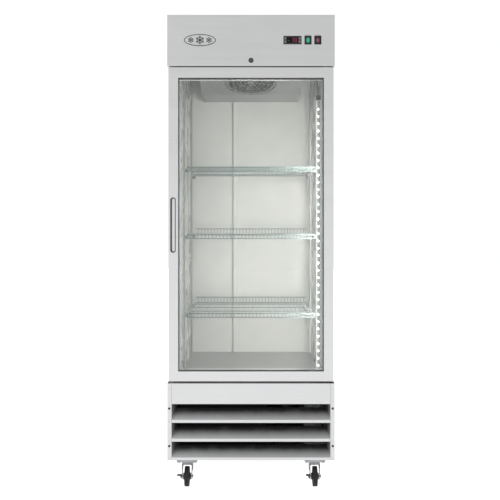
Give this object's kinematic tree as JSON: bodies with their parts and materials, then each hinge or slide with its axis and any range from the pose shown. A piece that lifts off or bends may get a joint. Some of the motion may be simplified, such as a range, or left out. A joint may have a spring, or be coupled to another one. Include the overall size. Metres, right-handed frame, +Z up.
{
  "type": "reach-in refrigerator",
  "caption": "Upright stainless reach-in refrigerator with a hinged glass door, wire shelves, louvred lower panel and swivel casters; keeps food cold in a restaurant kitchen.",
  "frame": {"origin": "on the floor, under the middle of the cabinet's overall box", "axes": "+X to the hinge side (right from the front), +Y to the back, +Z up; the door faces -Y"},
  "size_m": [0.735, 0.82, 2.09],
  "materials": {
    "stainless": "satin",
    "foam": "matte",
    "liner": "satin",
    "black_plastic": "satin",
    "display_black": "gloss",
    "key_grey": "matte",
    "rocker_green": "gloss",
    "rocker_red": "gloss",
    "lock_black": "satin",
    "zinc": "satin",
    "aluminium_satin": "satin",
    "lamp_white": "gloss",
    "coated_wire": "gloss",
    "motor_grey": "satin",
    "white_plastic": "satin",
    "black_paint": "satin",
    "copper": "satin",
    "glass": "polished",
    "gasket_grey": "matte",
    "wheel_black": "matte"
  },
  "bodies": {
    "cabinet": {"outer_panels": "stainless", "insulation": "foam", "inner_liner": "liner", "header_cover": "stainless", "controller_body": "black_plastic", "controller_display": "display_black", "switch_housings": "black_plastic", "lock_housing": "lock_black", "led_channel": "aluminium_satin", "led_lamps": "lamp_white", "led_lead": "black_plastic", "shelf_pilasters": "stainless", "shelf_clips": "zinc", "upper_shelf": "coated_wire", "middle_shelf": "coated_wire", "lower_shelf": "coated_wire", "evaporator_cover": "liner", "evaporator_coil": "aluminium_satin", "evaporator_fan_motor": "motor_grey", "fan_guard": "coated_wire", "wiring_duct": "white_plastic", "base_frame": "zinc", "louvre_panel": "stainless", "panel_posts": "stainless", "screws": "zinc", "compressor": "black_paint", "condenser_coil": "aluminium_satin", "condenser_fan_frame": "motor_grey", "refrigerant_pipes": "copper", "condensate_pan": "black_plastic", "cord_inlet": "black_plastic", "hinge_brackets": "zinc", "caster_risers": "zinc", "caster_plates": "zinc"},
    "door": {"door_frame": "stainless", "door_core": "foam", "door_inner_frame": "white_plastic", "door_glass": "glass", "glass_spacer": "black_plastic", "door_gasket": "gasket_grey", "handle_cup": "stainless", "hinge_bushes": "white_plastic"},
    "lock_barrel": {"lock_barrel": "zinc"},
    "power_rocker": {"power_rocker": "rocker_green"},
    "lamp_rocker": {"lamp_rocker": "rocker_red"},
    "key_set": {"key_set": "key_grey"},
    "key_defrost": {"key_defrost": "key_grey"},
    "key_up": {"key_up": "key_grey"},
    "key_down": {"key_down": "key_grey"},
    "evaporator_fan": {"evaporator_fan_blade": "black_plastic"},
    "condenser_fan": {"condenser_fan_blade": "aluminium_satin"},
    "front_left_fork": {"front_left_fork": "zinc"},
    "front_left_wheel": {"front_left_wheel": "wheel_black"},
    "front_right_fork": {"front_right_fork": "zinc"},
    "front_right_wheel": {"front_right_wheel": "wheel_black"},
    "rear_left_fork": {"rear_left_fork": "zinc"},
    "rear_left_wheel": {"rear_left_wheel": "wheel_black"},
    "rear_right_fork": {"rear_right_fork": "zinc"},
    "rear_right_wheel": {"rear_right_wheel": "wheel_black"},
    "front_left_brake": {"front_left_brake": "black_paint"},
    "front_right_brake": {"front_right_brake": "black_paint"}
  },
  "joints": [
    {"name": "door_swing", "type": "hinge", "parent": "cabinet", "child": "door", "pos_m": [0.35, -0.378, 0.483], "axis": [0, 0, 1], "range_deg": [0, 120]},
    {"name": "lock_turn", "type": "hinge", "parent": "cabinet", "child": "lock_barrel", "pos_m": [0, -0.4, 1.89], "axis": [0, 1, 0], "range_deg": [0, 90]},
    {"name": "power_rocker_tilt", "type": "hinge", "parent": "cabinet", "child": "power_rocker", "pos_m": [0.25, -0.403, 1.979], "axis": [1, 0, 0], "range_deg": [0, 14]},
    {"name": "lamp_rocker_tilt", "type": "hinge", "parent": "cabinet", "child": "lamp_rocker", "pos_m": [0.293, -0.403, 1.979], "axis": [1, 0, 0], "range_deg": [0, 14]},
    {"name": "key_set_press", "type": "slide", "parent": "cabinet", "child": "key_set", "axis": [0, 1, 0], "range_m": [0, 0.0008], "stiffness_N_per_m": 800},
    {"name": "key_defrost_press", "type": "slide", "parent": "cabinet", "child": "key_defrost", "axis": [0, 1, 0], "range_m": [0, 0.0008], "stiffness_N_per_m": 800},
    {"name": "key_up_press", "type": "slide", "parent": "cabinet", "child": "key_up", "axis": [0, 1, 0], "range_m": [0, 0.0008], "stiffness_N_per_m": 800},
    {"name": "key_down_press", "type": "slide", "parent": "cabinet", "child": "key_down", "axis": [0, 1, 0], "range_m": [0, 0.0008], "stiffness_N_per_m": 800},
    {"name": "evaporator_fan_spin", "type": "hinge", "parent": "cabinet", "child": "evaporator_fan", "pos_m": [0, -0.01, 1.87487], "axis": [0, 0.3068, 0.9518], "continuous": true},
    {"name": "condenser_fan_spin", "type": "hinge", "parent": "cabinet", "child": "condenser_fan", "pos_m": [-0.125, -0.262, 0.276], "axis": [0, 1, 0], "continuous": true},
    {"name": "front_left_swivel", "type": "hinge", "parent": "cabinet", "child": "front_left_fork", "pos_m": [-0.286, -0.305, 0.1], "axis": [0, 0, 1], "continuous": true},
    {"name": "front_right_swivel", "type": "hinge", "parent": "cabinet", "child": "front_right_fork", "pos_m": [0.286, -0.305, 0.1], "axis": [0, 0, 1], "continuous": true},
    {"name": "rear_left_swivel", "type": "hinge", "parent": "cabinet", "child": "rear_left_fork", "pos_m": [-0.286, 0.305, 0.1], "axis": [0, 0, 1], "continuous": true},
    {"name": "rear_right_swivel", "type": "hinge", "parent": "cabinet", "child": "rear_right_fork", "pos_m": [0.286, 0.305, 0.1], "axis": [0, 0, 1], "continuous": true},
    {"name": "front_left_roll", "type": "hinge", "parent": "front_left_fork", "child": "front_left_wheel", "pos_m": [-0.286, -0.333, 0.044], "axis": [1, 0, 0], "continuous": true},
    {"name": "front_right_roll", "type": "hinge", "parent": "front_right_fork", "child": "front_right_wheel", "pos_m": [0.286, -0.333, 0.044], "axis": [1, 0, 0], "continuous": true},
    {"name": "rear_left_roll", "type": "hinge", "parent": "rear_left_fork", "child": "rear_left_wheel", "pos_m": [-0.286, 0.277, 0.044], "axis": [1, 0, 0], "continuous": true},
    {"name": "rear_right_roll", "type": "hinge", "parent": "rear_right_fork", "child": "rear_right_wheel", "pos_m": [0.286, 0.277, 0.044], "axis": [1, 0, 0], "continuous": true},
    {"name": "front_left_brake_press", "type": "hinge", "parent": "front_left_fork", "child": "front_left_brake", "pos_m": [-0.286, -0.333, 0.044], "axis": [1, 0, 0], "range_deg": [0, 25]},
    {"name": "front_right_brake_press", "type": "hinge", "parent": "front_right_fork", "child": "front_right_brake", "pos_m": [0.286, -0.333, 0.044], "axis": [1, 0, 0], "range_deg": [0, 25]}
  ]
}
